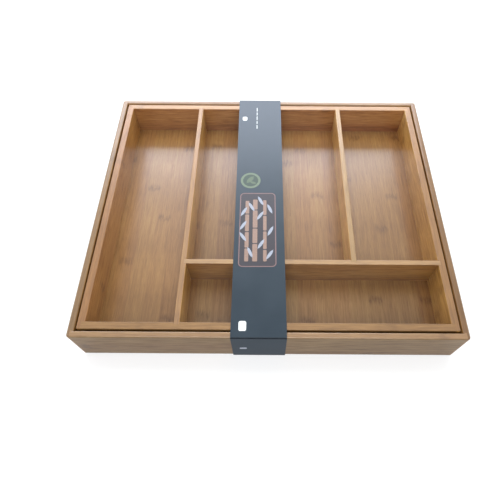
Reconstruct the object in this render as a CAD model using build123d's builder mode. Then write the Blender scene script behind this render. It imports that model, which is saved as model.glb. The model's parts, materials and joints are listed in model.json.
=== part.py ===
from build123d import *

import os

# Expanding bamboo cutlery tray with a printed card sleeve, closed, as it is sold.
# A main tray with five compartments nests between two outer wings, which slide out to the left and right.
# +X runs to the right, +Y to the back, +Z up. The origin is under the middle of the whole, at its lowest face.

os.makedirs("parts", exist_ok=True)

# Overall sizes of the closed tray, in millimetres
tray_width = 415.0
tray_depth = 353.0
tray_height = 53.0

# Stock thicknesses
outer_board = 7.0
inner_board = 8.0
divider_board = 6.0
main_floor_thick = 6.0
wing_floor_thick = 4.0
card_thick = 0.45

# Compartments of the main tray
long_slot_width = 92.0
right_slot_width = 91.5
front_slot_depth = 70.0

# How the trays nest and slide
nest_gap = 2.0
slide_clear = 0.4
seam_gap = 0.4
foot_recess = 4.0
wing_travel = 88.0

# Joints between the boards
wing_rabbet_wall = 3.5
main_rabbet_wall = 4.0
dado_depth = 2.5
floor_groove_depth = 3.2

# Stop pegs, glued up into the main floor, which run in slots in the wing floors
peg_radius = 4.0
peg_cover = 2.0
peg_glue_gap = 0.05
peg_spread = 200.0
slot_clear = 0.4
slot_end_wood = 17.0

# Edges
corner_round = 3.0
rim_round = 2.0
foot_round = 1.0
edge_round = 0.8
divider_edge_round = 0.7
peg_chamfer = 0.6

# Card sleeve
sleeve_width = 58.0
sleeve_shift = -11.5
sleeve_skew = 3.0
sleeve_clear = 0.55
fold_round = 0.5
glue_flap_depth = 18.0

# Overrun for cuts that leave a board
overrun = 1.0

# Levels
tray_base_z = card_thick + sleeve_clear
tray_top_z = tray_base_z + tray_height
wing_floor_z = tray_base_z + foot_recess
wing_floor_top_z = wing_floor_z + wing_floor_thick
main_floor_z = wing_floor_top_z + slide_clear
main_floor_top_z = main_floor_z + main_floor_thick
groove_top_z = main_floor_top_z + slide_clear
wall_z = (main_floor_top_z, tray_top_z)
board_z = (tray_base_z, tray_top_z)

# Plan places, measured from the middle of the tray
half_width = tray_width / 2
half_depth = tray_depth / 2
half_divider = divider_board / 2
wing_inside_x = half_width - outer_board
wing_inside_y = half_depth - outer_board
main_half_width = wing_inside_x - nest_gap
main_half_depth = wing_inside_y - nest_gap
main_inside_x = main_half_width - inner_board
main_inside_y = main_half_depth - inner_board
main_rabbet_x = main_half_width - main_rabbet_wall
wing_rabbet_x = half_width - wing_rabbet_wall
groove_end_y = wing_inside_y + floor_groove_depth
dado_end_y = main_inside_y + dado_depth
long_divider_x = -main_inside_x + long_slot_width + half_divider
right_divider_x = main_inside_x - right_slot_width - half_divider
middle_divider_x = (long_divider_x + right_divider_x) / 2
cross_y = (-main_inside_y + front_slot_depth, -main_inside_y + front_slot_depth + divider_board)
slot_radius = peg_radius + slot_clear
seam_x = seam_gap / 2
slot_inner_x = seam_x + slot_end_wood + slot_radius
peg_x = slot_inner_x + wing_travel
peg_y = peg_spread / 2

LEFT = -1
RIGHT = 1
FRONT = -1
BACK = 1
side_names = {LEFT: "left", RIGHT: "right"}
end_names = {FRONT: "front", BACK: "back"}


def save(builder, name):
    """Label a finished piece and write it as one STEP file."""
    builder.part.label = name
    export_step(builder.part, f"parts/{name}.step")
    print(f"{name}: {len(builder.part.solids())} solid, {builder.part.volume / 1000:.1f} cm3")


def block(x_span, y_span, z_span, mode=Mode.ADD):
    """A box between pairs of places, added to or cut from the part being built."""
    spans = (x_span, y_span, z_span)
    sizes = [abs(high - low) for low, high in spans]
    middle = tuple(sum(span) / 2 for span in spans)
    with Locations(middle):
        Box(*sizes, mode=mode)


def top_edges(builder):
    """The edges round a board's upper face."""
    return builder.faces().sort_by(Axis.Z)[-1].edges()


# Main tray floor: the walls stand on it, and its front and back edges reach past them as lips
# that run in the wings' grooves
lip_y = groove_end_y - slide_clear
with BuildPart() as main_floor:
    block((-main_half_width, main_half_width), (-lip_y, lip_y), (main_floor_z, main_floor_top_z))
    fillet(main_floor.edges().filter_by(Axis.X), edge_round)
    with BuildSketch(Plane.XY.offset(main_floor_z)) as peg_holes:
        with GridLocations(2 * peg_x, 2 * peg_y, 2, 2):
            Circle(peg_radius + peg_glue_gap)
    extrude(amount=main_floor_thick - peg_cover, mode=Mode.SUBTRACT)
save(main_floor, "main_floor")


# Main frame: the four main walls' outline as one ring, with its edges eased all round as it is sanded.
# Each wall is its stretch of the ring.
with BuildPart() as main_frame:
    block((-main_half_width, main_half_width), (-main_half_depth, main_half_depth), wall_z)
    fillet(main_frame.edges().filter_by(Axis.Z), edge_round)
    block((-main_inside_x, main_inside_x), (-main_inside_y, main_inside_y), wall_z, Mode.SUBTRACT)
    fillet(top_edges(main_frame), edge_round)


# Main tray side walls: they run the full depth, with a rabbet at each end for the front and back walls.
# The right one has a dado for the cross divider.
def main_side_wall(side):
    outer_x = side * main_half_width
    inner_x = side * main_inside_x
    cut_x = inner_x - side * overrun
    with BuildPart() as wall:
        add(main_frame.part)
        block((outer_x, inner_x), (-main_half_depth, main_half_depth), wall_z, Mode.INTERSECT)
        for end in (FRONT, BACK):
            rabbet_y = (end * main_inside_y, end * (main_half_depth + overrun))
            block((side * main_rabbet_x, cut_x), rabbet_y, wall_z, Mode.SUBTRACT)
        if side == RIGHT:
            block((inner_x + dado_depth, cut_x), cross_y, wall_z, Mode.SUBTRACT)
    return wall


for side in (LEFT, RIGHT):
    save(main_side_wall(side), f"main_{side_names[side]}_wall")


# Main tray front and back walls: they sit in the side walls' rabbets, with dados for the divider ends
def main_end_wall(end, divider_places):
    outer_y = end * main_half_depth
    inner_y = end * main_inside_y
    with BuildPart() as wall:
        add(main_frame.part)
        block((-main_rabbet_x, main_rabbet_x), (outer_y, inner_y), wall_z, Mode.INTERSECT)
        for place in divider_places:
            dado_x = (place - half_divider, place + half_divider)
            block(dado_x, (end * dado_end_y, inner_y - end * overrun), wall_z, Mode.SUBTRACT)
    return wall


save(main_end_wall(FRONT, [long_divider_x]), "main_front_wall")
save(main_end_wall(BACK, [long_divider_x, middle_divider_x, right_divider_x]), "main_back_wall")

# Long divider: front wall to back wall, with a dado in its right face for the cross divider
long_right_x = long_divider_x + half_divider
cross_start_x = long_right_x - dado_depth
with BuildPart() as long_divider:
    block((long_divider_x - half_divider, long_right_x), (-dado_end_y, dado_end_y), wall_z)
    fillet(top_edges(long_divider).filter_by(Axis.Y), divider_edge_round)
    block((cross_start_x, long_right_x + overrun), cross_y, wall_z, Mode.SUBTRACT)
save(long_divider, "long_divider")

# Cross divider: long divider to right wall, with dados in its back face for the two short dividers
cross_back_y = cross_y[1]
short_start_y = cross_back_y - dado_depth
with BuildPart() as cross_divider:
    block((cross_start_x, main_inside_x + dado_depth), cross_y, wall_z)
    fillet(top_edges(cross_divider).filter_by(Axis.X), divider_edge_round)
    for place in (middle_divider_x, right_divider_x):
        dado_x = (place - half_divider, place + half_divider)
        block(dado_x, (short_start_y, cross_back_y + overrun), wall_z, Mode.SUBTRACT)
save(cross_divider, "cross_divider")


# Short dividers: cross divider to back wall
def short_divider(place):
    with BuildPart() as divider:
        block((place - half_divider, place + half_divider), (short_start_y, dado_end_y), wall_z)
        fillet(top_edges(divider).filter_by(Axis.Y), divider_edge_round)
    return divider


save(short_divider(middle_divider_x), "middle_divider")
save(short_divider(right_divider_x), "right_divider")


# Stop pegs: glued up into the main floor, their lower ends level with the underside of the wing floor
def stop_pegs(side):
    with BuildPart() as pegs:
        with BuildSketch(Plane.XY.offset(wing_floor_z)) as peg_section:
            with Locations((side * peg_x, -peg_y), (side * peg_x, peg_y)):
                Circle(peg_radius)
        extrude(amount=main_floor_top_z - peg_cover - wing_floor_z)
        lower_rims = pegs.edges().filter_by(GeomType.CIRCLE).group_by(Axis.Z)[0]
        chamfer(lower_rims, peg_chamfer)
    return pegs


for side in (LEFT, RIGHT):
    save(stop_pegs(side), f"{side_names[side]}_stop_pegs")


# Outer frame: the boards of both wings as one ring, rounded over along the top, at the corners and at the foot.
# Each board is its stretch of the ring.
with BuildPart() as outer_frame:
    block((-half_width, half_width), (-half_depth, half_depth), board_z)
    fillet(outer_frame.edges().filter_by(Axis.Z), corner_round)
    fillet(outer_frame.faces().sort_by(Axis.Z)[0].edges(), foot_round)
    block((-wing_inside_x, wing_inside_x), (-wing_inside_y, wing_inside_y), board_z, Mode.SUBTRACT)
    fillet(top_edges(outer_frame), rim_round)


# Wing side boards: full depth, with a rabbet at each end for the rails and a groove for the wing floor
def wing_side(side):
    outer_x = side * half_width
    inner_x = side * wing_inside_x
    cut_x = inner_x - side * overrun
    with BuildPart() as board:
        add(outer_frame.part)
        block((outer_x, inner_x), (-half_depth, half_depth), board_z, Mode.INTERSECT)
        for end in (FRONT, BACK):
            rabbet_y = (end * wing_inside_y, end * (half_depth + overrun))
            block((side * wing_rabbet_x, cut_x), rabbet_y, board_z, Mode.SUBTRACT)
        groove_x = (inner_x + side * floor_groove_depth, cut_x)
        block(groove_x, (-groove_end_y, groove_end_y), (wing_floor_z, wing_floor_top_z), Mode.SUBTRACT)
    return board


# Wing rails: half the front or back each, grooved inside for the wing floor and the main floor's lip above it
def wing_rail(side, end):
    outer_y = end * half_depth
    inner_y = end * wing_inside_y
    seam_end_x = side * seam_x
    rabbet_end_x = side * wing_rabbet_x
    with BuildPart() as rail:
        add(outer_frame.part)
        block((seam_end_x, rabbet_end_x), (outer_y, inner_y), board_z, Mode.INTERSECT)
        groove_x = (seam_end_x - side * overrun, rabbet_end_x + side * overrun)
        groove_y = (end * groove_end_y, inner_y - end * overrun)
        block(groove_x, groove_y, (wing_floor_z, groove_top_z), Mode.SUBTRACT)
    return rail


# Wing floors: held in the grooves on three sides, with two slots that the stop pegs run in
def wing_floor(side):
    outer_x = side * (wing_inside_x + floor_groove_depth)
    slot_middle_x = side * (slot_inner_x + peg_x) / 2
    with BuildPart() as floor:
        block((side * seam_x, outer_x), (-groove_end_y, groove_end_y), (wing_floor_z, wing_floor_top_z))
        with BuildSketch(Plane.XY.offset(wing_floor_z)) as slots:
            with Locations((slot_middle_x, -peg_y), (slot_middle_x, peg_y)):
                SlotCenterToCenter(wing_travel, 2 * slot_radius)
        extrude(amount=wing_floor_thick, mode=Mode.SUBTRACT)
    return floor


for side in (LEFT, RIGHT):
    wing = f"{side_names[side]}_wing"
    save(wing_side(side), f"{wing}_side")
    save(wing_floor(side), f"{wing}_floor")
    for end in (FRONT, BACK):
        save(wing_rail(side, end), f"{wing}_{end_names[end]}_rail")

# Card sleeve: one strip folded round the closed tray, a little askew. Its ends overlap underneath,
# where the upper one is a glue flap that clears the side boards.
inside_depth = tray_depth + 2 * sleeve_clear
inside_height = tray_height + 2 * sleeve_clear
outside_depth = inside_depth + 2 * card_thick
outside_height = inside_height + 2 * card_thick
sleeve_reach = (sleeve_width + sleeve_skew) / 2
half_sleeve = sleeve_width / 2
half_skew = sleeve_skew / 2
cut_y = outside_depth / 2
with BuildPart() as card_sleeve:
    with BuildSketch(Plane.YZ.offset(sleeve_shift - sleeve_reach)) as loop_section:
        with Locations((0, outside_height / 2)):
            RectangleRounded(outside_depth, outside_height, fold_round + card_thick)
            RectangleRounded(inside_depth, inside_height, fold_round, mode=Mode.SUBTRACT)
        with Locations((0, card_thick)):
            Rectangle(glue_flap_depth, card_thick, align=(Align.CENTER, Align.MIN))
    extrude(amount=2 * sleeve_reach)
    with BuildSketch(Plane.XY) as skewed_strip:
        with BuildLine():
            Polyline(
                (sleeve_shift - half_sleeve + half_skew, -cut_y),
                (sleeve_shift + half_sleeve + half_skew, -cut_y),
                (sleeve_shift + half_sleeve - half_skew, cut_y),
                (sleeve_shift - half_sleeve - half_skew, cut_y),
                close=True,
            )
        make_face()
    extrude(amount=outside_height, mode=Mode.INTERSECT)
save(card_sleeve, "card_sleeve")

print(f"closed {tray_width} x {tray_depth} x {tray_height}, expanded width {tray_width + 2 * wing_travel}")
print(f"middle compartment widths {right_divider_x - middle_divider_x - divider_board:.2f}")
print(f"back compartment length {main_inside_y - cross_back_y:.2f}")
print(f"main floor top at {main_floor_top_z:.2f}, wall tops at {tray_top_z:.2f}")
print(f"dividers at x {long_divider_x:.2f}, {middle_divider_x:.2f}, {right_divider_x:.2f}, cross at y {cross_y}")
print(f"pegs at x {peg_x:.2f}, slots from x {slot_inner_x - slot_radius:.2f} to {peg_x + slot_radius:.2f}")
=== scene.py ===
import json
import math

import bmesh
import bpy
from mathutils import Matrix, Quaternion, Vector

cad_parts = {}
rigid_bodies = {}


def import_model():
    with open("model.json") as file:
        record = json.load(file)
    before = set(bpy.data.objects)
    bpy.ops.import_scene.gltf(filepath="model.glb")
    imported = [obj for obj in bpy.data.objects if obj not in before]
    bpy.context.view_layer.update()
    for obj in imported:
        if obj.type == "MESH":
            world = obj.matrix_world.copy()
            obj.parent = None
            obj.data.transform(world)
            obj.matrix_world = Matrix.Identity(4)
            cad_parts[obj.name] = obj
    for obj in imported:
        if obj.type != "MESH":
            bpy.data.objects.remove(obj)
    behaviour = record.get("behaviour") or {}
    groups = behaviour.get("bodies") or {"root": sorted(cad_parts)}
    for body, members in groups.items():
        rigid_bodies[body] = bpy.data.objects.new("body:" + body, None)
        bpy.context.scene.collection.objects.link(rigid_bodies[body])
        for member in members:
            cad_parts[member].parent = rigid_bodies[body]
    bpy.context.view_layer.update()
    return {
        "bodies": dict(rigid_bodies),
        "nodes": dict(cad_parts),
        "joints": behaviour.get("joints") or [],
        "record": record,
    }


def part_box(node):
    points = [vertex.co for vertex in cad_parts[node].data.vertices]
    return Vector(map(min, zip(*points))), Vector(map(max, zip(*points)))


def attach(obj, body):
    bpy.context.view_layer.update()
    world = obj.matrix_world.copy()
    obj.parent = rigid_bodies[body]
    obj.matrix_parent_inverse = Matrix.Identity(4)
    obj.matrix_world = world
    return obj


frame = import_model()
nodes = frame["nodes"]
print("frame loaded,", len(nodes), "nodes")


# Helpers for node trees. A value is a number, a colour or another node's output.

def addNode(tree, kind, inputs=None, **settings):
    made = tree.nodes.new(kind)
    for key, value in settings.items():
        setattr(made, key, value)
    for key, value in (inputs or {}).items():
        feed(tree, made.inputs[key], value)
    return made


def feed(tree, socket, value):
    if isinstance(value, bpy.types.NodeSocket):
        tree.links.new(value, socket)
    else:
        socket.default_value = value


def calc(tree, operation, *terms, clamp=False):
    made = addNode(tree, "ShaderNodeMath", dict(enumerate(terms)), operation=operation, use_clamp=clamp)
    return made.outputs[0]


def plus(tree, first, *others):
    for other in others:
        first = calc(tree, "ADD", first, other)
    return first


def minus(tree, first, *others):
    for other in others:
        first = calc(tree, "SUBTRACT", first, other)
    return first


def times(tree, first, *others):
    for other in others:
        first = calc(tree, "MULTIPLY", first, other)
    return first


def centred(tree, value, width):      # 0 to 1 becomes minus half the width to plus half of it
    return calc(tree, "MULTIPLY_ADD", value, width, -width / 2)


falling = (1.0, 0.0)


def remap(tree, value, span, ends=(0.0, 1.0), smooth=False):
    kind = "SMOOTHSTEP" if smooth else "LINEAR"
    made = addNode(tree, "ShaderNodeMapRange", {"Value": value, "From Min": span[0], "From Max": span[1],
                                                "To Min": ends[0], "To Max": ends[1]}, interpolation_type=kind)
    return made.outputs[0]


def splitUp(tree, vector):
    return addNode(tree, "ShaderNodeSeparateXYZ", {0: vector}).outputs


def stretch(tree, vector, scale, shift=(0, 0, 0)):
    mapped = addNode(tree, "ShaderNodeMapping", {"Vector": vector, "Location": shift, "Scale": scale})
    return mapped.outputs[0]


usualNoise = (0.3, 0.7)               # most of a noise lies between these


def noise(tree, place, scale, shift=(0, 0, 0), detail=2.0, roughness=0.5):
    made = addNode(tree, "ShaderNodeTexNoise", {"Vector": stretch(tree, place, scale, shift), "Scale": 1.0,
                                                "Detail": detail, "Roughness": roughness})
    return made.outputs[0]


def blendColour(tree, amount, first, second, how="MIX"):
    made = addNode(tree, "ShaderNodeMix", {0: amount, 6: first, 7: second}, data_type="RGBA", blend_type=how)
    return made.outputs[2]


def tint(tree, colour, other, amount=1.0):
    return blendColour(tree, amount, colour, other, "MULTIPLY")


def ramp(tree, value, stops, interpolation="LINEAR"):
    made = addNode(tree, "ShaderNodeValToRGB", {0: value})
    made.color_ramp.interpolation = interpolation
    elements = made.color_ramp.elements
    while len(elements) < len(stops):
        elements.new(0.5)
    for element, (position, colour) in zip(elements, stops):
        element.position = position
        element.color = colour
    return made.outputs[0]


def roughen(tree, shader, height, strength, depth):
    bump = addNode(tree, "ShaderNodeBump", {"Height": height, "Strength": strength, "Distance": depth})
    feed(tree, shader.inputs["Normal"], bump.outputs[0])


def seenDirectly(tree):               # 1 for the camera, gloss and glass, 0 for light on its way to the object
    rays = addNode(tree, "ShaderNodeLightPath").outputs
    return calc(tree, "ADD", plus(tree, rays["Is Camera Ray"], rays["Is Glossy Ray"]), rays["Is Transmission Ray"],
                clamp=True)


# Colours and materials

def srgb(red, green, blue):
    def toLinear(level):
        level /= 255
        return level / 12.92 if level <= 0.04045 else ((level + 0.055) / 1.055) ** 2.4
    return (toLinear(red), toLinear(green), toLinear(blue), 1.0)


def opaque(shade):
    return (*shade, 1.0)


def grey(level):
    return (level, level, level, 1.0)


def newMaterial(name):
    material = bpy.data.materials.new(name)
    material.use_nodes = True
    return material, material.node_tree, material.node_tree.nodes["Principled BSDF"]


def dress(thing, material):
    thing.data.materials.clear()
    thing.data.materials.append(material)


# Bamboo boards: strips glued side by side, with fibres, pores and the dark bands where the cane had its nodes.
# Lengths are in millimetres, and the scale of a noise goes along the grain, across the board and through it.

bamboo = {
    "stripWidth": 20.0,
    "firstStrip": -205.0,         # left edge of the floors' first strip
    "seedShift": 3.7,             # by which a wall's seed moves its strips
    "seedChance": 17.3,           # by which a board's seed changes the random values of its strips
    "slip": 900.0,                # how far a strip's fibres may be shifted against its neighbours'
    "floorFibre": {"scale": (0.042, 1.2, 1.2), "detail": 3.0, "roughness": 0.64},
    "wallFibre": {"scale": (0.036, 0.52, 0.52), "detail": 3.0, "roughness": 0.64},
    "broadFibre": {"scale": (0.0045, 0.24, 0.24)},
    "patch": {"scale": (0.006, 0.02, 0.02), "detail": 1.0},       # on the tray's own axes
    "pore": {"scale": (0.085, 1.5, 1.5), "detail": 1.0, "roughness": 0.4},
    "poreSpan": (0.57, 0.72),     # noise levels over which a pore opens

    "bandSpacing": 262.0,         # from one node band to the next
    "bandFade": (1.0, 7.5),       # from a band's core to its rim
    "wander": {"scale": (0.05, 0.55, 0.55)},
    "wanderReach": 16.0,          # makes the bands ragged
    "dash": {"scale": (0.16, 0.55, 0.55), "shift": (0, 0, 5), "detail": 4.0, "roughness": 0.65},
    "dashSpan": (0.36, 0.62),
    "dashDepth": (0.15, 1.0),
    "sideFade": (0.02, 0.16),     # of a band towards the sides of its strip, as parts of the strip's width

    "tones": [(0.18, srgb(112, 75, 37)), (0.5, srgb(149, 110, 64)), (0.86, srgb(177, 138, 88))],
    "floorContrast": 0.86,
    "wallContrast": 1.2,
    "broadContrast": 0.34,
    "patchContrast": 0.40,
    "stripContrast": 0.09,
    "rosy": srgb(255, 240, 234),
    "straw": srgb(248, 248, 232),
    "poreColour": srgb(112, 75, 37),
    "poreDepth": 0.4,
    "bandTint": srgb(176, 158, 140),
    "bandDepth": 0.72,

    "topTurn": (0.45, 0.85),      # how far a face looks up, and how high it lies, to be an upper edge
    "topHeight": (50.0, 52.5),
    "sanding": 0.3,               # how far an upper edge is paled by a painted sheen
    "sandedTint": srgb(190, 160, 128),
    # painted light: upper edges get paler from front to back
    "topLightReach": (-165.0, 165.0),  # upper edges get paler from front to back
    "topLightTones": (0.83, 1.12),
    # painted light and sheen: inner faces get paler towards their far ends, and bluer high up
    "deepLightReach": (100.0, 150.0),  # inner faces get paler towards their far ends, most of all high up
    "deepLightHeight": (24.0, 46.0),
    "deepLightLow": grey(1.25),
    "deepLightHigh": (1.40, 1.65, 2.2, 1.0),
    "footShadeHeight": (22.0, 34.0),   # painted shade: the back wall is darker at its foot, where it meets the floor, most of all to the right
    "footShadeReach": (-200.0, 170.0),
    "footShadeShare": (0.25, 1.0),

    "roughness": (0.40, 0.30),    # on dark and on light fibres
    "shine": 0.5,
    "coat": 0.8,
    "topCoat": 0.25,
    "coatRoughness": 0.22,
    "coatTurn": (0.3, 0.8),       # how far a face of an outer board looks up to have the coat of its top
    "seamReach": 0.25,            # to each side of a glue line
    "seamRelief": 0.35,
    "poreRelief": 0.4,
    "fineRelief": 0.45,
    "broadRelief": 0.35,
    "bump": 0.35,
    "bumpDepth": 0.00012,         # metres
}

# Where each of the main floor's strips has its node band, from the left strip on, measured back from the middle
floorKnots = [100, -65, 49, 0, -140, -12, 126, -8, 60, -90, 20, 95, -142, 38, -38, 66, 146, -15, 38, -116]
# Painted light and shade on the main floor: darker at the front, lighter near the back wall, lighter over the middle
# compartments and darker to the right
floorPaintedShade = {                        # places and tones, to the right and to the back
    "X": [(-190, 0.99), (-108, 0.98), (-88, 1.035), (62, 1.035), (84, 1.0), (104, 0.95), (122, 0.92)],
    "Y": [(-170, 0.90), (-120, 0.92), (-92, 0.97), (-30, 0.99), (125, 1.0), (152, 1.2)],
}
mapReach = 200.0                      # places on a colour ramp run from minus this to plus this

# "face" multiplies the colour of a board's sides, and "top" that of its upper edge: partly the board's own tone,
# partly painted light and shade. The outer boards have less lacquer on their sides.
panelY = {"cut": "floor", "grain": "Y", "across": "X"}
wallY = {"cut": "wall", "grain": "Y", "across": "Z"}
wallX = {"cut": "wall", "grain": "X", "across": "Z"}
dull = {"sideCoat": 0.05, "shine": 0.15}
boards = {
    "main_floor": {**panelY, "seed": 3, "face": (0.78, 0.765, 0.72), "knots": floorKnots, "tones": floorPaintedShade},
    "left_wing_floor": {**panelY, "seed": 31},
    "right_wing_floor": {**panelY, "seed": 32},
    "main_left_wall": {**wallY, "seed": 11, "face": (0.97, 0.89, 0.66), "top": (0.72, 0.62, 0.53)},
    "main_right_wall": {**wallY, "seed": 12, "face": (1.38, 1.47, 1.28), "top": (0.72, 0.66, 0.60)},
    "main_front_wall": {**wallX, "seed": 13, "face": (0.64, 0.69, 0.76), "top": (0.64, 0.64, 0.65),
                        "sideCoat": 0.05, "topCoat": 0.25, "shine": 0.2},
    "main_back_wall": {**wallX, "seed": 14, "face": (1.01, 0.88, 0.85), "top": (1.02, 0.97, 0.88),
                       "foot": (0.62, 0.47, 0.40)},
    "long_divider": {**wallY, "seed": 15, "face": (1.7, 1.85, 1.5), "top": (0.83, 0.8, 0.78)},
    "cross_divider": {**wallX, "seed": 16, "face": (0.78, 0.75, 0.64), "top": (0.9, 0.96, 1.0)},
    "middle_divider": {**wallY, "seed": 17, "face": (1.4, 1.4, 1.2), "top": (0.84, 0.84, 0.83)},
    "right_divider": {**wallY, "seed": 18, "face": (1.85, 2.1, 2.05), "top": (0.85, 0.93, 0.92)},
    "left_wing_side": {**wallY, **dull, "seed": 21, "face": (0.74, 0.77, 0.80), "top": (0.62, 0.66, 0.73)},
    "right_wing_side": {**wallY, **dull, "seed": 22, "face": (0.74, 0.77, 0.80), "top": (0.55, 0.54, 0.55)},
}
# The front rails' sides are darkest, in painted shade
rails = {"seeds": {"left_wing_front": 23, "right_wing_front": 24, "left_wing_back": 25, "right_wing_back": 26},
         "front": (0.53, 0.60, 0.71), "back": (0.74, 0.77, 0.80), "top": (0.71, 0.74, 0.86)}
for where, seed in rails["seeds"].items():
    face = rails[where.split("_")[-1]]
    boards[where + "_rail"] = {**wallX, **dull, "seed": seed, "face": face, "top": rails["top"]}


def layStrips(tree, board):
    coords = addNode(tree, "ShaderNodeTexCoord").outputs
    place = stretch(tree, coords["Object"], (1000, 1000, 1000))
    axes = splitUp(tree, place)
    facingUp = splitUp(tree, coords["Normal"])["Z"]
    thickness = ({"X", "Y", "Z"} - {board["grain"], board["across"]}).pop()
    along, across, through = axes[board["grain"]], axes[board["across"]], axes[thickness]

    # Which strip a point lies in, a random value for it, and the way to its nearer side as a part of its width
    firstStrip = bamboo["firstStrip"] if board["cut"] == "floor" else -bamboo["seedShift"] * board["seed"]
    inStrips = calc(tree, "DIVIDE", minus(tree, across, firstStrip), bamboo["stripWidth"])
    strip = calc(tree, "FLOOR", inStrips)
    drawn = plus(tree, strip, bamboo["seedChance"] * board["seed"])
    chance = addNode(tree, "ShaderNodeTexWhiteNoise", {"W": drawn}, noise_dimensions="1D").outputs[0]
    fromSide = calc(tree, "PINGPONG", calc(tree, "FRACT", inStrips), 0.5)
    slipped = calc(tree, "MULTIPLY_ADD", chance, bamboo["slip"], along)
    fibrePlace = addNode(tree, "ShaderNodeCombineXYZ", {0: slipped, 1: across, 2: through}).outputs[0]
    isTop = times(tree, remap(tree, facingUp, bamboo["topTurn"]), remap(tree, axes["Z"], bamboo["topHeight"]))
    return {"place": place, "axes": axes, "facingUp": facingUp, "along": along, "strip": strip, "chance": chance,
            "fromSide": fromSide, "fibrePlace": fibrePlace, "isTop": isTop}


def growFibres(tree, board, spot):
    seed = board["seed"]
    fine = noise(tree, spot["fibrePlace"], shift=(seed, 0, 0), **bamboo[board["cut"] + "Fibre"])
    broad = noise(tree, spot["fibrePlace"], shift=(0, seed, 0), **bamboo["broadFibre"])
    patch = noise(tree, spot["place"], shift=(seed, seed, 0), **bamboo["patch"])
    pore = noise(tree, spot["fibrePlace"], shift=(0, 0, seed), **bamboo["pore"])
    return {"fine": fine, "broad": broad, "patch": patch, "pore": remap(tree, pore, bamboo["poreSpan"], smooth=True)}


# Node bands: a short ragged row of dashes across one strip
def drawBands(tree, board, spot):
    if "knots" in board:
        count = len(board["knots"])
        stops = [(index / count, grey(0.5 + knot / (2 * mapReach))) for index, knot in enumerate(board["knots"])]
        level = ramp(tree, calc(tree, "DIVIDE", plus(tree, spot["strip"], 0.5), count), stops, "CONSTANT")
        centre = centred(tree, level, 2 * mapReach)
    else:
        centre = times(tree, spot["chance"], bamboo["bandSpacing"])
    wander = centred(tree, noise(tree, spot["fibrePlace"], **bamboo["wander"]), bamboo["wanderReach"])
    distance = calc(tree, "PINGPONG", plus(tree, minus(tree, spot["along"], centre), wander),
                    bamboo["bandSpacing"] / 2)
    dash = noise(tree, spot["fibrePlace"], **bamboo["dash"])
    return times(tree, remap(tree, distance, bamboo["bandFade"], falling, smooth=True),
                 remap(tree, dash, bamboo["dashSpan"], bamboo["dashDepth"]),
                 remap(tree, spot["fromSide"], bamboo["sideFade"], smooth=True))


def colourWood(tree, board, spot, fibres):
    tone = plus(tree, 0.5, centred(tree, fibres["fine"], bamboo[board["cut"] + "Contrast"]),
                centred(tree, fibres["broad"], bamboo["broadContrast"]),
                centred(tree, fibres["patch"], bamboo["patchContrast"]),
                centred(tree, spot["chance"], bamboo["stripContrast"]))
    hue = times(tree, plus(tree, fibres["broad"], spot["chance"]), 0.5)
    colour = tint(tree, ramp(tree, tone, bamboo["tones"]), blendColour(tree, hue, bamboo["rosy"], bamboo["straw"]))
    colour = blendColour(tree, times(tree, fibres["pore"], bamboo["poreDepth"]), colour, bamboo["poreColour"])
    bands = times(tree, drawBands(tree, board, spot), bamboo["bandDepth"])
    colour = tint(tree, colour, bamboo["bandTint"], bands)
    # Upper edges paled by a painted sheen
    return blendColour(tree, times(tree, spot["isTop"], bamboo["sanding"]), colour, bamboo["sandedTint"])


# Painted light and shade that change along one of the tray's axes
def paintShadeAlong(tree, place, tones):    # halved on the ramp, where no level goes past 1
    stops = [(0.5 + at / (2 * mapReach), grey(tone / 2)) for at, tone in tones]
    level = ramp(tree, calc(tree, "MULTIPLY_ADD", place, 1 / (2 * mapReach), 0.5), stops)
    return times(tree, level, 2.0)


# Painted light and shade, mixed with some of each board's own tone
def paintLightAndShade(tree, board, spot, colour):
    axes, along, isTop = spot["axes"], spot["along"], spot["isTop"]
    # Painted shade at the foot of the back wall
    if "foot" in board:
        footShade = times(tree, remap(tree, axes["Z"], bamboo["footShadeHeight"], falling, smooth=True),
                       remap(tree, along, bamboo["footShadeReach"], bamboo["footShadeShare"]))
        colour = tint(tree, colour, opaque(board["foot"]), footShade)
    # Each board's own tone together with painted light and shade, on its sides and upper edge
    if "face" in board:
        top = board.get("top", (1.0, 1.0, 1.0))
        colour = tint(tree, colour, blendColour(tree, isTop, opaque(board["face"]), opaque(top)))
    # Painted light and sheen on inner faces near their far ends
    if board["grain"] == "Y" and "top" in board:
        paintedFaceLight = grey(1.0)
        if "sideCoat" not in board:
            paintedDeepLight = blendColour(tree, remap(tree, axes["Z"], bamboo["deepLightHeight"]), bamboo["deepLightLow"],
                                   bamboo["deepLightHigh"])
            paintedFaceLight = blendColour(tree, remap(tree, along, bamboo["deepLightReach"]), paintedFaceLight, paintedDeepLight)
        # Painted light on the upper edges, growing towards the back
        paintedTopLight = remap(tree, along, bamboo["topLightReach"], bamboo["topLightTones"])
        colour = tint(tree, colour, blendColour(tree, isTop, paintedFaceLight, paintedTopLight))
    for direction, tones in board.get("tones", {}).items():
        colour = tint(tree, colour, paintShadeAlong(tree, axes[direction], tones))
    return colour


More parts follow.
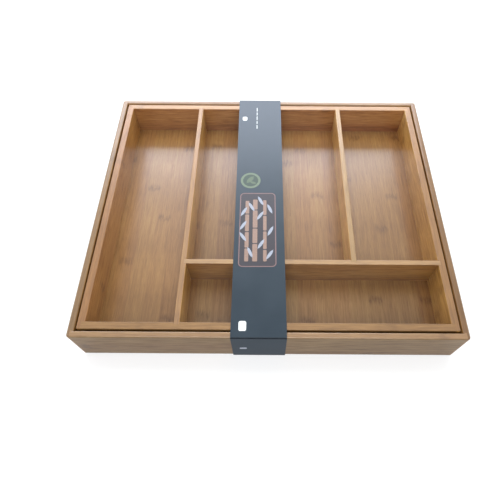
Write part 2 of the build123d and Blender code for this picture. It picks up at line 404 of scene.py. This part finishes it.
def lacquerBoard(tree, shader, board, spot, fibres):
    feed(tree, shader.inputs["Roughness"], remap(tree, fibres["fine"], usualNoise, bamboo["roughness"]))
    if "sideCoat" in board:
        ends = (board["sideCoat"], board.get("topCoat", bamboo["coat"]))
        coat = remap(tree, spot["facingUp"], bamboo["coatTurn"], ends)
    else:
        coat = remap(tree, spot["isTop"], (0.0, 1.0), (bamboo["coat"], bamboo["topCoat"]))
    feed(tree, shader.inputs["Coat Weight"], coat)
    shader.inputs["Coat Roughness"].default_value = bamboo["coatRoughness"]
    shader.inputs["Specular IOR Level"].default_value = board.get("shine", bamboo["shine"])
    seam = remap(tree, spot["fromSide"], (0.0, bamboo["seamReach"] / bamboo["stripWidth"]), falling, smooth=True)
    height = plus(tree, times(tree, fibres["fine"], bamboo["fineRelief"]),
                  times(tree, fibres["broad"], bamboo["broadRelief"]))
    height = minus(tree, height, times(tree, fibres["pore"], bamboo["poreRelief"]),
                   times(tree, seam, bamboo["seamRelief"]))
    roughen(tree, shader, height, bamboo["bump"], bamboo["bumpDepth"])


def bambooFinish(name, board):
    material, tree, shader = newMaterial("bamboo_" + name)
    spot = layStrips(tree, board)
    fibres = growFibres(tree, board, spot)
    colour = colourWood(tree, board, spot, fibres)
    feed(tree, shader.inputs["Base Color"], paintLightAndShade(tree, board, spot, colour))
    lacquerBoard(tree, shader, board, spot, fibres)
    return material


for name, board in boards.items():
    dress(nodes[name], bambooFinish(name, board))
print("bamboo boards finished,", len(boards))


# Stop pegs: pale turned dowel

dowel = {
    "pale": srgb(214, 184, 138),
    "grain": srgb(176, 138, 92),
    "fibre": {"scale": (1500, 1500, 60), "detail": 3.0},
    "grainSpan": (0.35, 0.65),
    "roughness": (0.60, 0.72),    # on the pale wood and on the grain
    "bump": 0.3,
    "bumpDepth": 0.0001,
}


def dowelFinish():
    material, tree, shader = newMaterial("dowel_wood")
    grain = noise(tree, addNode(tree, "ShaderNodeTexCoord").outputs["Object"], **dowel["fibre"])
    colour = blendColour(tree, remap(tree, grain, dowel["grainSpan"]), dowel["pale"], dowel["grain"])
    feed(tree, shader.inputs["Base Color"], colour)
    feed(tree, shader.inputs["Roughness"], remap(tree, grain, usualNoise, dowel["roughness"]))
    roughen(tree, shader, grain, dowel["bump"], dowel["bumpDepth"])
    return material


dowelWood = dowelFinish()
for name in ("left_stop_pegs", "right_stop_pegs"):
    dress(nodes[name], dowelWood)
print("stop pegs finished")


# Card sleeve: slate print under a satin film, pale board where it is cut, darkened along the folds by painted shade,
# and a little worn along them.
# Lengths are in metres.

card = {
    "slate": srgb(33, 46, 57),
    "worn": srgb(80, 93, 106),
    "core": srgb(176, 178, 176),
    "foldShade": srgb(14, 19, 25),
    "mottle": {"scale": (45, 45, 45), "shift": (3.3, 7.1, 1.9)},
    "mottleSpan": (0.15, 0.85),
    "mottleDepth": 0.09,
    "wear": {"scale": (220, 220, 220), "detail": 3.0},
    "wearSpan": (0.42, 0.66),
    "wearReach": (0.0002, 0.0006),        # from a fold
    "wearDepth": 0.12,
    "foldShadeReach": (0.0005, 0.0022),
    "foldShadeDepth": 0.85,
    "cutTurn": (0.8, 0.95),       # how far a face looks to the side to be a cut edge
    "endTurn": (0.1, 0.5),        # and to the front or back to be an upright end
    "roughness": (0.285, 0.325),
    "coreRoughness": 0.85,
    "shine": (0.5, 0.04),         # flat, and on the upright ends
    "ior": 1.55,
    "fibre": {"scale": (650, 650, 650), "shift": (0.3, 0.7, 0.2)},
    "bump": 0.15,
    "bumpDepth": 0.00003,
}
sleeveLow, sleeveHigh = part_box("card_sleeve")


def cardFinish():
    material, tree, shader = newMaterial("slate_card")
    coords = addNode(tree, "ShaderNodeTexCoord").outputs
    place = splitUp(tree, coords["Object"])
    facing = splitUp(tree, coords["Normal"])
    isCut = remap(tree, calc(tree, "ABSOLUTE", facing["X"]), card["cutTurn"])
    isEnd = remap(tree, calc(tree, "ABSOLUTE", facing["Y"]), card["endTurn"])

    # A fold is near where both an end and the top or underside are near
    toEnd = minus(tree, sleeveHigh.y, calc(tree, "ABSOLUTE", place["Y"]))
    toTop = calc(tree, "PINGPONG", place["Z"], (sleeveHigh.z - sleeveLow.z) / 2)
    fromFold = calc(tree, "MAXIMUM", toEnd, toTop)
    isFoldShaded = remap(tree, fromFold, card["foldShadeReach"], falling, smooth=True)
    wear = noise(tree, coords["Object"], **card["wear"])
    isWorn = times(tree, remap(tree, fromFold, card["wearReach"], falling), remap(tree, wear, card["wearSpan"]))

    mottle = noise(tree, coords["Object"], **card["mottle"])
    colour = blendColour(tree, remap(tree, mottle, card["mottleSpan"], (0.0, card["mottleDepth"])), card["slate"],
                         card["worn"])
    # Painted shade along the folds
    colour = blendColour(tree, times(tree, isFoldShaded, card["foldShadeDepth"]), colour, card["foldShade"])
    colour = blendColour(tree, times(tree, isWorn, card["wearDepth"]), colour, card["worn"])
    feed(tree, shader.inputs["Base Color"], blendColour(tree, isCut, colour, card["core"]))
    roughness = remap(tree, mottle, card["mottleSpan"], card["roughness"])
    feed(tree, shader.inputs["Roughness"], blendColour(tree, isCut, roughness, grey(card["coreRoughness"])))
    feed(tree, shader.inputs["Specular IOR Level"], remap(tree, isEnd, (0.0, 1.0), card["shine"]))
    shader.inputs["IOR"].default_value = card["ior"]
    roughen(tree, shader, noise(tree, coords["Object"], **card["fibre"]), card["bump"], card["bumpDepth"])
    return material


dress(nodes["card_sleeve"], cardFinish())
print("card sleeve finished")


# Printed marks on the sleeve, as thin films of ink: a leaf in a ring, a panel of canes, plain rules and tabs.
# Places and sizes are in millimetres across and along the card. All of them turn with the sleeve, which lies askew.

ink = {
    "layer": 0.05,                # from one film up to the next
    "thick": 0.075,
    "askew": math.atan(3.0 / 355.0),
    "pivot": (-11.5, 0.0),
    "green": srgb(100, 114, 94),
    "sage": srgb(86, 100, 80),
    "moss": srgb(56, 70, 62),
    "plum": srgb(58, 54, 60),
    "rose": srgb(124, 98, 98),
    "tan": srgb(144, 118, 106),
    "silver": srgb(150, 156, 172),
    "white": srgb(222, 226, 228),
    "grain": {"scale": (700, 700, 700), "detail": 3.0},
    "thinSpan": (0.35, 0.75),
    "thinning": 0.18,             # how much of the slate shows where the ink is thin
    "roughness": (0.30, 0.38),
    "discSides": 72,
    "leafSides": 28,
    "leafTip": 0.12,              # how far each tip is drawn out, as a part of the leaf's length
    "cornerSteps": 6,
}


def metres(*lengths):
    return tuple(length / 1000 for length in lengths)


def inkFinish(name, colour):
    material, tree, shader = newMaterial("ink_" + name)
    grain = noise(tree, addNode(tree, "ShaderNodeTexCoord").outputs["Object"], **ink["grain"])
    share = ink["thinning"]
    thin = tuple((1 - share) * full + share * under for full, under in zip(colour, card["slate"]))
    feed(tree, shader.inputs["Base Color"], blendColour(tree, remap(tree, grain, ink["thinSpan"]), colour, thin))
    feed(tree, shader.inputs["Roughness"], remap(tree, grain, usualNoise, ink["roughness"]))
    return material


def beginFilm(addPrimitive, x, y, **settings):
    bpy.ops.object.select_all(action="DESELECT")
    addPrimitive(location=metres(x, y, 0), **settings)
    bpy.ops.object.transform_apply(location=True, rotation=True, scale=True)
    bpy.ops.object.mode_set(mode="EDIT")
    bpy.ops.mesh.select_all(action="SELECT")


def cutMiddle(width):                 # leaves a frame of that width
    bpy.ops.mesh.inset(thickness=width / 1000, depth=0.0)
    bpy.ops.mesh.delete(type="FACE")


def endFilm():
    bpy.ops.object.mode_set(mode="OBJECT")
    return bpy.context.object


def discFilm(x, y, radius, ring=0.0):
    beginFilm(bpy.ops.mesh.primitive_circle_add, x, y, vertices=ink["discSides"], radius=radius / 1000,
              fill_type="NGON")
    if ring:
        cutMiddle(ring)
    return endFilm()


def tabFilm(x, y, wide, long, corner, frame=0.0):
    beginFilm(bpy.ops.mesh.primitive_plane_add, x, y, size=1)
    bpy.ops.transform.resize(value=(*metres(wide, long), 1), center_override=metres(x, y, 0))
    bpy.ops.mesh.bevel(offset=corner / 1000, offset_pct=0, segments=ink["cornerSteps"], affect="VERTICES")
    if frame:
        cutMiddle(frame)
    return endFilm()


def leafFilm(x, y, long, wide, turn):
    centre = metres(x, y, 0)
    beginFilm(bpy.ops.mesh.primitive_circle_add, x, y, vertices=ink["leafSides"], radius=long / 2000,
              fill_type="NGON")
    bpy.ops.transform.resize(value=(1, wide / long, 1), center_override=centre)
    mesh = bmesh.from_edit_mesh(bpy.context.object.data)
    for side in (-1, 1):
        bpy.ops.mesh.select_all(action="DESELECT")
        tip = max(mesh.verts, key=lambda vertex: side * vertex.co.x)
        tip.select_set(True)
        bmesh.update_edit_mesh(bpy.context.object.data)
        bpy.ops.transform.translate(value=(side * ink["leafTip"] * long / 1000, 0, 0))
    bpy.ops.mesh.select_all(action="SELECT")
    bpy.ops.transform.rotate(value=-math.radians(turn), orient_axis="Z", center_override=centre)
    return endFilm()


def printFilms(name, colour, films, layer, onFront=False):
    bpy.ops.object.select_all(action="DESELECT")
    for film in films:
        film.select_set(True)
    bpy.context.view_layer.objects.active = films[0]
    if len(films) > 1:
        bpy.ops.object.join()
    piece = bpy.context.object
    piece.name = piece.data.name = name
    dress(piece, inkFinish(name, colour))
    thick = piece.modifiers.new("thick", "SOLIDIFY")
    thick.thickness, thick.offset = ink["thick"] / 1000, -1
    bpy.ops.object.modifier_apply(modifier=thick.name)

    height = (-sleeveLow.y if onFront else sleeveHigh.z) + layer * ink["layer"] / 1000
    bpy.ops.object.mode_set(mode="EDIT")
    bpy.ops.mesh.select_all(action="SELECT")
    bpy.ops.transform.translate(value=(0, 0, height))
    if onFront:                       # y becomes height, and the film's upper side faces the front
        bpy.ops.transform.rotate(value=-math.pi / 2, orient_axis="X", center_override=(0, 0, 0))
    bpy.ops.transform.rotate(value=-ink["askew"], orient_axis="Z", center_override=metres(*ink["pivot"], 0))
    bpy.ops.mesh.normals_make_consistent(inside=False)
    bpy.ops.object.mode_set(mode="OBJECT")
    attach(piece, "card_sleeve")


seal = {
    "place": (-22.7, 30.1),
    "radius": 12.4,
    "ring": 2.9,
    "overlap": 0.3,               # of the ring over its ground
    "leaves": [(-0.6, 1.2, 12.0, 5.6, 52), (3.2, -3.6, 7.2, 3.36, -18)],     # place, length, width and turn
}


def printSeal():
    x, y = seal["place"]
    printFilms("seal_ground_print", ink["moss"], [discFilm(x, y, seal["radius"] - seal["overlap"])], 1)
    printFilms("seal_print", ink["green"], [discFilm(x, y, seal["radius"], seal["ring"])], 2)
    leaves = [leafFilm(x + across, y + along, *shape) for across, along, *shape in seal["leaves"]]
    printFilms("seal_leaf_print", ink["sage"], leaves, 2)


panel = {
    "place": (-13.5, -42.0),
    "size": (43.0, 104.0),
    "corner": 5.0,
    "frame": 1.1,
    "foot": 7.0,                  # from the panel's lower edge up to the canes
    "gap": 1.3,                   # at a cane's nodes
    "caneCorner": 1.1,
    "canes": [(-12.5, 4.6, (17, 21, 24, 19)), (-3.0, 5.6, (23, 20, 25, 15)), (8.5, 4.0, (15, 24, 21, 22))],
    "leaf": (13.0, 3.6),
    "leaves": [(-16.5, 24, 62), (-7.5, 31, 118), (3.0, 18, 58), (14.5, 28, 112), (15.0, -4, 64), (-17.0, -12, 122),
               (4.0, -22, 60), (-8.5, -33, 112), (14.0, -36, 58), (-17.0, 4, 60), (3.5, 40, 116)],   # place, turn
}


def printPanel():
    x, y = panel["place"]
    wide, long = panel["size"]
    printFilms("panel_print", ink["plum"], [tabFilm(x, y, wide, long, panel["corner"])], 1)
    printFilms("panel_frame_print", ink["rose"], [tabFilm(x, y, wide, long, panel["corner"], panel["frame"])], 2)
    canes = []
    for across, caneWide, lengths in panel["canes"]:
        low = y - long / 2 + panel["foot"]
        for length in lengths:
            canes.append(tabFilm(x + across, low + length / 2, caneWide, length, panel["caneCorner"]))
            low += length + panel["gap"]
    printFilms("cane_print", ink["tan"], canes, 3)
    leaves = [leafFilm(x + across, y + along, *panel["leaf"], turn) for across, along, turn in panel["leaves"]]
    printFilms("leaf_print", ink["silver"], leaves, 4)


smallPrint = {                        # plain tabs, each with its place, size and corner, and a row of rules
    "tabs": [(-32.1, 140.2, 6.4, 7.6, 2.2), (-28.4, -163.7, 8.0, 11.0, 2.0)],
    "frontTab": (-28.3, 25.1, 7.6, 4.4, 1.4),
    "rulesAt": (-15.5, 158.0),
    "ruleStep": 8.4,
    "ruleWide": 0.9,
    "ruleCorner": 0.3,
    "ruleLengths": (7.0, 6.0, 7.2, 5.2, 7.0),
}


def printSmall():
    x, y = smallPrint["rulesAt"]
    rules = [(x, y - step * smallPrint["ruleStep"], smallPrint["ruleWide"], length, smallPrint["ruleCorner"])
             for step, length in enumerate(smallPrint["ruleLengths"])]
    printFilms("tab_print", ink["white"], [tabFilm(*tab) for tab in smallPrint["tabs"] + rules], 1)
    printFilms("front_tab_print", ink["silver"], [tabFilm(*smallPrint["frontTab"])], 1, onFront=True)


printSeal()
printPanel()
printSmall()
print("printed marks made")


# Floor, light and camera. Lengths are in metres and powers in watts.

ground = {
    "size": 3.0,
    "drop": 0.0003,               # keeps it clear of the sleeve's underside
    "grey": 0.5,
    "roughness": 0.9,
    "shine": 0.1,
    "lift": 0.5,                  # what the camera and shiny surfaces see on top of its own grey, up to white
    "fade": (0.75, 1.3),          # distances over which it melts into the world
}
sky = {
    "ambient": 0.5,
    "horizon": 1.0,               # what the camera and shiny surfaces see low down
    "fade": (0.26, 0.60),         # sines of the heights over which that dims to the ambient level
}
lamps = {                             # one unseen by "diffuse" shows in gloss only, one by "glossy" never does
    "back_glow": {"place": (-0.2, 1.39, 1.087), "aim": (-0.2, 0.0, 1.087), "size": (1.9, 0.85), "power": 31.0,
                  "colour": (0.80, 0.863, 1.0), "unseenBy": "diffuse"},
    "high_panel": {"place": (0.0, 1.25, 1.72), "size": (2.4, 0.55), "power": 3.2, "colour": (0.9, 1.0, 1.0)},
    "low_panel": {"place": (0.0, 0.85, 0.42), "size": (1.6, 0.3), "power": 9.2, "unseenBy": "glossy"},
    "over_panel": {"place": (0.0, 0.45, 1.15), "size": (1.2, 0.6), "power": 9.6, "colour": (0.95, 1.0, 0.96),
                   "unseenBy": "glossy"},
    "front_panel": {"place": (0.0, -1.25, 1.05), "size": (1.2, 1.2), "power": 18.2, "colour": (0.95, 0.97, 1.0)},
    "left_panel": {"place": (-1.3, 0.1, 0.9), "size": (1.2, 1.2), "power": 4.5},
    "right_panel": {"place": (1.3, 0.1, 0.9), "size": (1.2, 1.2), "power": 3.0},
}
camera = {
    "lens": 30.703,
    "sensor": 36.0,
    "place": (-0.002738, -0.324331, 0.469696),
    "down": math.radians(60.64),
    "turn": math.radians(0.161),
    "roll": math.radians(0.533),
    "shift": (-0.0336, 0.0293),
    "sees": (0.01, 20.0),         # nearest and farthest
}


def groundFinish():
    material, tree, shader = newMaterial("pale_ground")
    shader.inputs["Base Color"].default_value = grey(ground["grey"])
    shader.inputs["Roughness"].default_value = ground["roughness"]
    shader.inputs["Specular IOR Level"].default_value = ground["shine"]
    lift = times(tree, seenDirectly(tree), ground["lift"])
    glow = addNode(tree, "ShaderNodeEmission", {"Color": grey(1.0), "Strength": lift}).outputs[0]
    lit = addNode(tree, "ShaderNodeAddShader", {0: shader.outputs[0], 1: glow}).outputs[0]
    place = addNode(tree, "ShaderNodeTexCoord").outputs["Object"]
    distance = addNode(tree, "ShaderNodeVectorMath", {0: place}, operation="LENGTH").outputs["Value"]
    isFar = remap(tree, distance, ground["fade"], smooth=True)
    clear = addNode(tree, "ShaderNodeBsdfTransparent").outputs[0]
    faded = addNode(tree, "ShaderNodeMixShader", {0: isFar, 1: lit, 2: clear}).outputs[0]
    feed(tree, tree.nodes["Material Output"].inputs["Surface"], faded)
    return material


def makeGround():
    bpy.ops.object.select_all(action="DESELECT")
    bpy.ops.mesh.primitive_plane_add(size=ground["size"], location=(0, 0, -ground["drop"]))
    bpy.ops.object.transform_apply(location=True, rotation=True, scale=True)
    plane = bpy.context.object
    plane.name = "ground"
    dress(plane, groundFinish())


def makeWorld():
    world = bpy.data.worlds.new("studio_white")
    bpy.context.scene.world = world
    world.use_nodes = True
    tree = world.node_tree
    height = splitUp(tree, addNode(tree, "ShaderNodeTexCoord").outputs["Generated"])["Z"]
    isLow = remap(tree, height, sky["fade"], falling, smooth=True)
    level = remap(tree, times(tree, seenDirectly(tree), isLow), (0.0, 1.0), (sky["ambient"], sky["horizon"]))
    feed(tree, tree.nodes["Background"].inputs["Color"], grey(1.0))
    feed(tree, tree.nodes["Background"].inputs["Strength"], level)


def turnedTo(direction):
    return Vector(direction).to_track_quat("-Z", "Y")


def makeLamp(name, lamp):
    light = bpy.data.lights.new(name, "AREA")
    light.shape = "RECTANGLE"
    light.size, light.size_y = lamp["size"]
    light.energy = lamp["power"]
    light.color = lamp.get("colour", (1.0, 1.0, 1.0))
    holder = bpy.data.objects.new(name, light)
    bpy.context.scene.collection.objects.link(holder)
    aim = Vector(lamp.get("aim", (0.0, 0.0, 0.0)))
    holder.location = lamp["place"]
    holder.rotation_euler = turnedTo(aim - Vector(lamp["place"])).to_euler()
    holder.visible_camera = False
    holder.visible_diffuse = lamp.get("unseenBy") != "diffuse"
    holder.visible_glossy = lamp.get("unseenBy") != "glossy"


def makeCamera():
    data = bpy.data.cameras.new("camera")
    data.lens, data.sensor_width = camera["lens"], camera["sensor"]
    data.shift_x, data.shift_y = camera["shift"]
    data.clip_start, data.clip_end = camera["sees"]
    data.dof.use_dof = False
    holder = bpy.data.objects.new("camera", data)
    bpy.context.scene.collection.objects.link(holder)
    down, turn = camera["down"], camera["turn"]
    forward = (math.sin(turn) * math.cos(down), math.cos(turn) * math.cos(down), -math.sin(down))
    holder.location = camera["place"]
    holder.rotation_mode = "QUATERNION"
    holder.rotation_quaternion = turnedTo(forward) @ Quaternion((0, 0, 1), camera["roll"])
    bpy.context.scene.camera = holder


makeGround()
for name, lamp in lamps.items():
    makeLamp(name, lamp)
makeWorld()
makeCamera()
bpy.context.scene.view_settings.view_transform = "Standard"
print("studio and camera ready")
